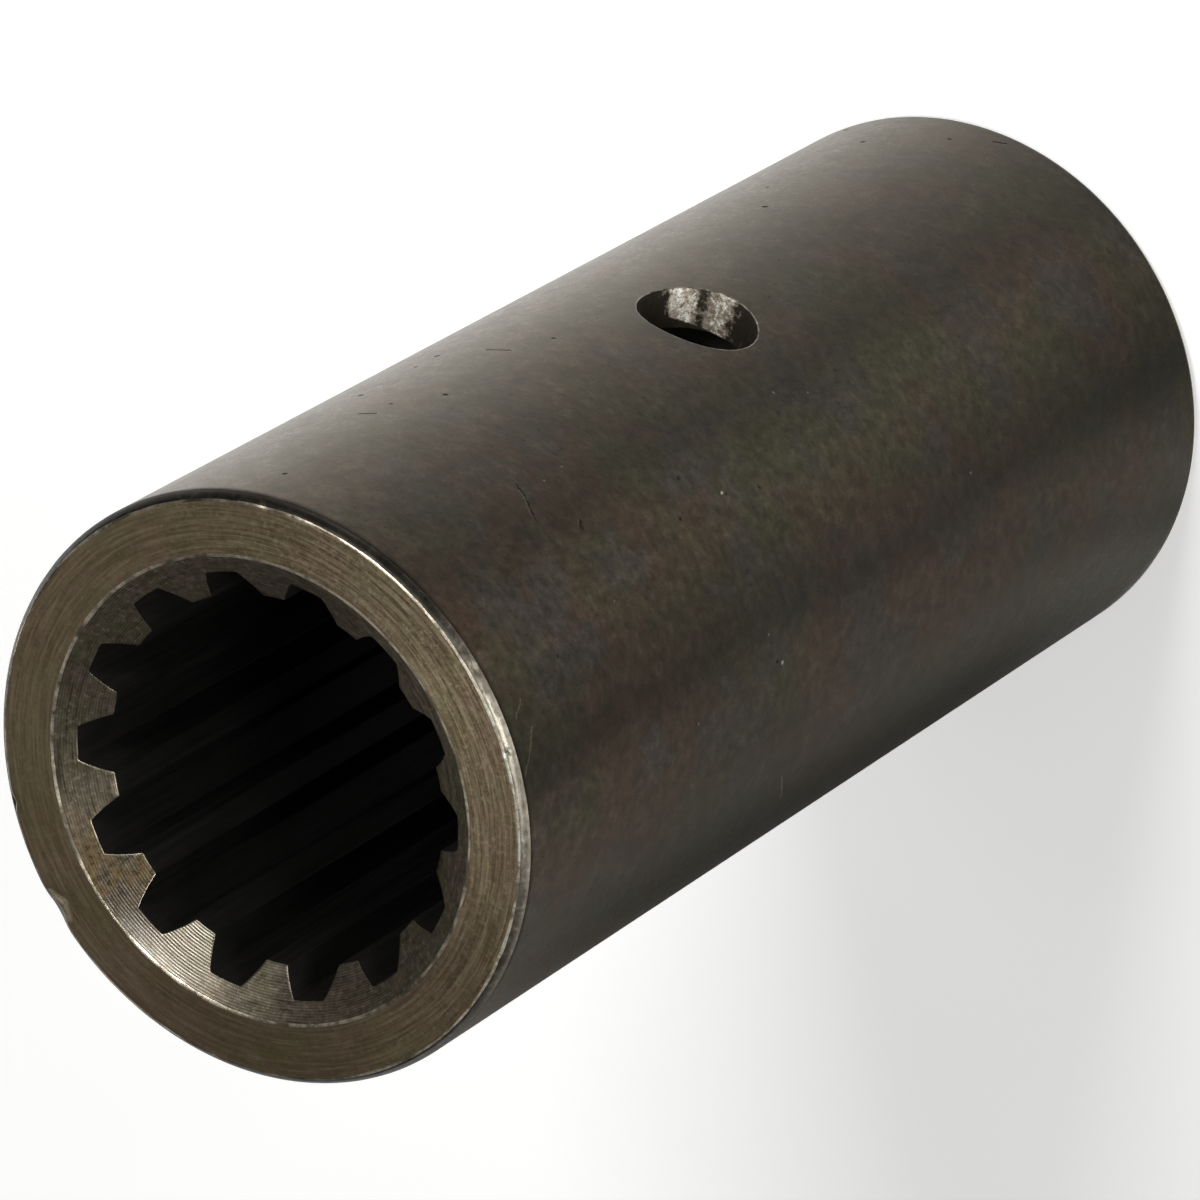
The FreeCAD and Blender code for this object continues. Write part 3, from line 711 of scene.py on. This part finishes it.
def drilled_wall():
    """Wall of the cross hole: torn along the drill's path, light in strips and black between them, partly bare metal
    and partly painted light and shade.
    """
    m = Nodes("drilled_wall")
    torn = m.noise(m.join(m.mul(m.x, 3.2), m.mul(m.y, 0.8), m.mul(m.z, 3.2)), 1.0, 4.0, 0.7)
    chips = m.noise(m.p, 2.3, 4.0, 0.75)
    # angle round the hole's own axis, from +X towards +Z, and depth under the outside
    dz = m.math("SUBTRACT", m.z, HOLE_Z)
    turn = m.mul(m.math("ARCTAN2", dz, m.x), 180 / math.pi)
    depth = m.math("ADD", m.y, OUTER)
    sway = m.add(m.mul(m.math("SUBTRACT", torn, 0.5), 22.0), m.mul(depth, m.span(turn, -78.0, -60.0, -1.5, 4.7)))
    # light strips round the hole's axis: partly bare metal, partly painted light and shade
    bare = m.by_angle(m.add(turn, sway), [(-180, .20), (-160, .03), (-120, .05), (-108, .10), (-101, .34), (-95, .50), (-86, .62), (-78, .56),
                                          (-71, .40), (-67, .26), (-60, .22), (-56, .50), (-51, .74), (-34, .76),
                                          (-29, .60), (-24, .05), (-10, .01), (30, .02), (60, .20), (95, .08), (130, .40), (160, .25), (180, .20)])
    # painted shade: the light strips stop short of the inner edge, sooner on one side
    painted_shade_depth = m.by_angle(turn, [(-180, .90), (-110, .90), (-90, .88), (-60, .82), (-40, .74), (-20, .70), (60, .80), (180, .90)])
    inner = m.span(m.math("SUBTRACT", depth, m.mul(painted_shade_depth, 3.1)), -0.12, 0.02, 0.0, 0.8)
    level = m.math("SUBTRACT", m.add(bare, m.mul(m.math("SUBTRACT", chips, 0.5), 1.7)), inner)
    level = m.span(level, 0.22, 0.80)
    colour = m.mix(level, (0.026, 0.021, 0.015), (0.54, 0.46, 0.36))
    # painted highlight: near-white glints on the lightest strips
    colour = m.mix(m.mul(m.span(level, 0.55, 1.0), m.span(torn, 0.42, 0.56)), colour, (0.95, 0.92, 0.85))
    crumb = m.noise(m.vec("ADD", m.p, (6.0, 1.0, 8.0)), 5.0, 3.0, 0.7)
    colour = m.mix(m.mul(m.span(crumb, 0.50, 0.36), 0.85, m.span(level, 0.1, 0.5)), colour, (0.115, 0.098, 0.062))
    rough = m.add(0.42, m.mul(m.span(chips, 0.3, 0.7), 0.15))
    m.bump(m.add(m.mul(torn, 0.06), m.mul(chips, 0.06)))
    m.bsdf.inputs["Specular IOR Level"].default_value = 0.22
    return m.finish(colour, rough, 0.30)


# ---------------------------------------------------------------------------------------------
# The sleeve
# ---------------------------------------------------------------------------------------------
def shown(mesh, name):
    o = bpy.data.objects.new(name, mesh)
    bpy.context.scene.collection.objects.link(o)
    return o


materials = [darkened_steel(), worn_edge(), turned_face(), turned_cone(), broached_bore(), drilled_wall(), broken_edge()]
blank_mesh, cutter_mesh = sleeve_mesh(), hole_cutter()
for mesh in (blank_mesh, cutter_mesh):
    for material in materials:
        mesh.materials.append(material)
blank, cutter = shown(blank_mesh, "sleeve_blank"), shown(cutter_mesh, "hole_cutter")
cut = blank.modifiers.new("cross_hole", "BOOLEAN")
cut.operation = "DIFFERENCE"
cut.solver = "EXACT"
cut.object = cutter
bpy.context.view_layer.update()
mesh = bpy.data.meshes.new_from_object(blank.evaluated_get(bpy.context.evaluated_depsgraph_get()))
mesh.name = "coupling_sleeve_body"
bpy.data.objects.remove(blank)
bpy.data.objects.remove(cutter)
mesh.polygons.foreach_set("use_smooth", np.ones(len(mesh.polygons), bool))
mesh.set_sharp_from_angle(angle=math.radians(32))
sleeve = shown(mesh, "coupling_sleeve_body")
even = sleeve.modifiers.new("even_normals", "WEIGHTED_NORMAL")
even.mode = "FACE_AREA"
even.keep_sharp = True
even.weight = 60
bpy.context.view_layer.update()
final = bpy.data.meshes.new_from_object(sleeve.evaluated_get(bpy.context.evaluated_depsgraph_get()))
sleeve.modifiers.clear()
sleeve.data = final


def true_cylinder(mesh):
    """Gives the plain outside, also right round the cross hole, the exact normals of a cylinder."""
    corners = len(mesh.loops)
    normals, vertex = np.empty(corners * 3, np.float32), np.empty(corners, np.int32)
    mesh.corner_normals.foreach_get("vector", normals)
    mesh.loops.foreach_get("vertex_index", vertex)
    pts = np.empty(len(mesh.vertices) * 3, np.float32)
    mesh.vertices.foreach_get("co", pts)
    pts = pts.reshape(-1, 3) / MM
    slot, sides = np.empty(len(mesh.polygons), np.int32), np.empty(len(mesh.polygons), np.int32)
    mesh.polygons.foreach_get("material_index", slot)
    mesh.polygons.foreach_get("loop_total", sides)
    radius = np.hypot(pts[:, 0], pts[:, 1])
    plain = (radius[vertex] > OUTER - 0.0015) & np.isin(np.repeat(slot, sides), (OUT, BREAK))
    normals = normals.reshape(-1, 3)
    exact = np.stack([pts[:, 0] / radius, pts[:, 1] / radius, 0 * radius], -1)
    normals[plain] = exact[vertex[plain]]
    mesh.normals_split_custom_set(normals.tolist())


true_cylinder(final)
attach(sleeve, "root")
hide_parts("coupling_sleeve")
final.calc_loop_triangles()
print("triangles", len(final.loop_triangles), "columns", COLUMNS)


# ---------------------------------------------------------------------------------------------
# Floor, light and camera
# ---------------------------------------------------------------------------------------------
def floor_material():
    m = Nodes("pale_floor")
    fine = m.noise(m.p, 0.05, 0.0)
    colour = m.mix(m.span(fine, 0.3, 0.7), (0.80, 0.80, 0.795), (0.815, 0.815, 0.81))
    m.finish(colour, 0.9, 0.0)
    m.bsdf.inputs["Specular IOR Level"].default_value = 0.1
    m.bsdf.inputs["Emission Color"].default_value = (1.0, 1.0, 0.99, 1.0)
    # the floor is lit only round the sleeve, so further out its own light makes up for it
    m.put(m.bsdf.inputs["Emission Strength"], m.span(m.radius(), 200.0, 700.0, 0.30, 0.95, True))
    return m.mat


floor_mesh = bpy.data.meshes.new("floor")
floor_mesh.from_pydata([(-2.5, -2.5, 0), (2.5, -2.5, 0), (2.5, 2.5, 0), (-2.5, 2.5, 0)], [], [(0, 1, 2, 3)])
floor_mesh.materials.append(floor_material())
floor = shown(floor_mesh, "floor")



def glow(name, colour, strength):
    """Even light of its own, for the backdrop and the panels."""
    m = Nodes(name)
    m.tree.nodes.remove(m.bsdf)
    light = m.tree.nodes.new("ShaderNodeEmission")
    light.inputs["Color"].default_value = colour
    light.inputs["Strength"].default_value = strength
    m.tree.links.new(light.outputs[0], m.out.inputs["Surface"])
    return m.mat


def backdrop():
    """A pale wall all round, far out. Only the camera sees it, it lights nothing."""
    angles = np.radians(np.linspace(0, 360, 73))[:-1]
    k = len(angles)
    pts = [(2.4 * math.cos(a), 2.4 * math.sin(a), z) for z in (0.0, 1.3) for a in angles]
    mesh = bpy.data.meshes.new("backdrop")
    mesh.from_pydata(pts, [], [(j, (j + 1) % k, k + (j + 1) % k, k + j) for j in range(k)])
    mesh.materials.append(glow("pale_backdrop", (1.0, 1.0, 0.995, 1.0), 1.1))
    wall = shown(mesh, "backdrop")
    wall.visible_diffuse = False
    wall.visible_glossy = False
    wall.visible_shadow = False


def panels():
    """Low upright light panels round the sleeve, lower than its end face. Only reflections see them."""
    for n, (middle, half) in enumerate(((-162, 9), (-70, 9), (18, 9), (108, 9))):
        a = np.radians(np.array([middle - half, middle + half]))
        pts = [(0.5 * math.cos(t), 0.5 * math.sin(t), z) for z in (0.0, 0.074) for t in a]
        mesh = bpy.data.meshes.new("panel_%d" % n)
        mesh.from_pydata(pts, [], [(0, 1, 3, 2)])
        mesh.materials.append(glow("panel_light_%d" % n, (1.0, 0.99, 0.97, 1.0), 8.0))
        panel = shown(mesh, "panel_%d" % n)
        panel.visible_camera = False
        panel.visible_diffuse = False
        panel.visible_shadow = False


backdrop()
panels()


def painted_shade_card_material():
    """Painted shade for reflections: a dark card, solid on the side away from the lights and fading out to both sides
    and outwards.
    """
    m = Nodes("painted_shade_sheet")
    m.tree.nodes.remove(m.bsdf)
    dark = m.tree.nodes.new("ShaderNodeBsdfDiffuse")
    dark.inputs["Color"].default_value = (0.02, 0.02, 0.02, 1.0)
    clear = m.tree.nodes.new("ShaderNodeBsdfTransparent")
    blend = m.tree.nodes.new("ShaderNodeMixShader")
    # angle about a point at the sleeve's side, from +X towards +Y, in degrees from 0 to 360
    dx, dy = m.math("ADD", m.x, 14.0), m.math("SUBTRACT", m.y, 0.0)
    turn = m.math("MULTIPLY", m.math("ARCTAN2", dy, dx), 180 / math.pi)
    turn = m.math("ADD", turn, m.mul(m.math("LESS_THAN", turn, -60.0), 360.0))
    far = m.span(m.radius(), 68.0, 98.0, 1.0, 0.0, True)
    near_side = m.span(turn, 12.0, 54.0, 0.0, 0.91, True)
    drop_a = m.span(turn, 92.0, 140.0, 0.0, 0.40, True)
    drop_b = m.span(turn, 150.0, 215.0, 0.0, 0.50, True)
    # painted shade, denser close to the foot on one side and thinner on the other
    psi = m.mul(m.angle(), 180 / math.pi)
    inner = m.span(m.radius(), 20.5, 29.0, 1.0, 0.0, True)
    foot = m.mul(inner, m.math("SUBTRACT", m.by_angle(psi, [(-180, .15), (-140, .06), (-115, .02), (-104, .14), (-92, .26), (-80, .52),
                                                            (-60, .52), (-45, .36), (-25, .30), (0, .15), (180, .15)]), 0.15))
    ring = m.mul(m.math("SUBTRACT", 1.0, inner), m.span(m.radius(), 30.0, 44.0, 0.18, 0.0, True),
                 m.by_angle(psi, [(-180, 0.0), (-104, 0.0), (-92, 1.0), (-60, 1.0), (-48, 0.0), (180, 0.0)]))
    foot = m.add(foot, ring)
    solid = m.mul(m.add(m.math("SUBTRACT", m.math("SUBTRACT", near_side, drop_a), drop_b), foot), far)
    m.put(blend.inputs[0], solid)
    m.tree.links.new(clear.outputs[0], blend.inputs[1])
    m.tree.links.new(dark.outputs[0], blend.inputs[2])
    m.tree.links.new(blend.outputs[0], m.out.inputs["Surface"])
    return m.mat


def painted_shade_reflection_card():
    """Painted shade: a dark card lying on the floor beside the sleeve. Only reflections see it."""
    angles = np.radians(np.linspace(0, 240, 49))
    radii = np.array([17.7, 30.0, 50.0, 75.0, 100.0])
    pts = [(r * math.cos(a) * MM, r * math.sin(a) * MM, 0.1 * MM) for r in radii for a in angles]
    k = len(angles)
    quads = [(i * k + j, i * k + j + 1, (i + 1) * k + j + 1, (i + 1) * k + j)
             for i in range(len(radii) - 1) for j in range(k - 1)]
    card_mesh = bpy.data.meshes.new("card")
    card_mesh.from_pydata(pts, [], quads)
    card_mesh.materials.append(painted_shade_card_material())
    card = shown(card_mesh, "card")
    card.visible_camera = False
    card.visible_diffuse = False
    card.visible_transmission = False
    card.visible_volume_scatter = False
    card.visible_shadow = False
    return card


painted_shade_reflection_card()

world = bpy.data.worlds.new("studio")
bpy.context.scene.world = world
world.use_nodes = True
background = world.node_tree.nodes["Background"]
background.inputs["Color"].default_value = (1.0, 0.99, 0.97, 1.0)
background.inputs["Strength"].default_value = 0.22


def softbox(name, direction, distance, wide, high, power, target=(0, 0, 0.06), grid=180.0):
    light = bpy.data.lights.new(name, "AREA")
    light.spread = math.radians(grid)
    light.shape = "RECTANGLE"
    light.size, light.size_y = wide, high
    light.energy = power
    o = bpy.data.objects.new(name, light)
    bpy.context.scene.collection.objects.link(o)
    d = Vector(direction).normalized()
    o.location = Vector(target) + d * distance
    o.rotation_euler = d.to_track_quat("Z", "Y").to_euler()
    o.visible_camera = False
    return o


softbox("key", (0.19, -0.57, 0.80), 0.9, 0.30, 0.30, 5.0)
softbox("front", (-0.75, -0.32, 0.575), 0.8, 0.42, 0.16, 3.2)
softbox("side", (0.02, -0.02, 1.0), 0.32, 0.06, 0.06, 0.018, target=(0.060, -0.026, 0.0), grid=30.0)

camera_data = bpy.data.cameras.new("camera")
camera_data.sensor_width = 36.0
camera_data.lens = 248.8805
camera_data.clip_start = 0.01
camera_data.clip_end = 20.0
camera = bpy.data.objects.new("camera", camera_data)
bpy.context.scene.collection.objects.link(camera)
right = Vector((-0.83003464, -0.22082568, -0.51213135))
up = Vector((0.41576181, -0.85705902, -0.30428926))
forward = Vector((0.37173191, 0.46549528, -0.80319956))
place = Matrix((right, up, -forward)).transposed().to_4x4()
place.translation = Vector((-183.19102808, -228.54347976, 439.18397432)) * MM
camera.matrix_world = place
bpy.context.scene.camera = camera

bpy.context.scene.view_settings.view_transform = "Standard"
bpy.context.scene.view_settings.look = "None"
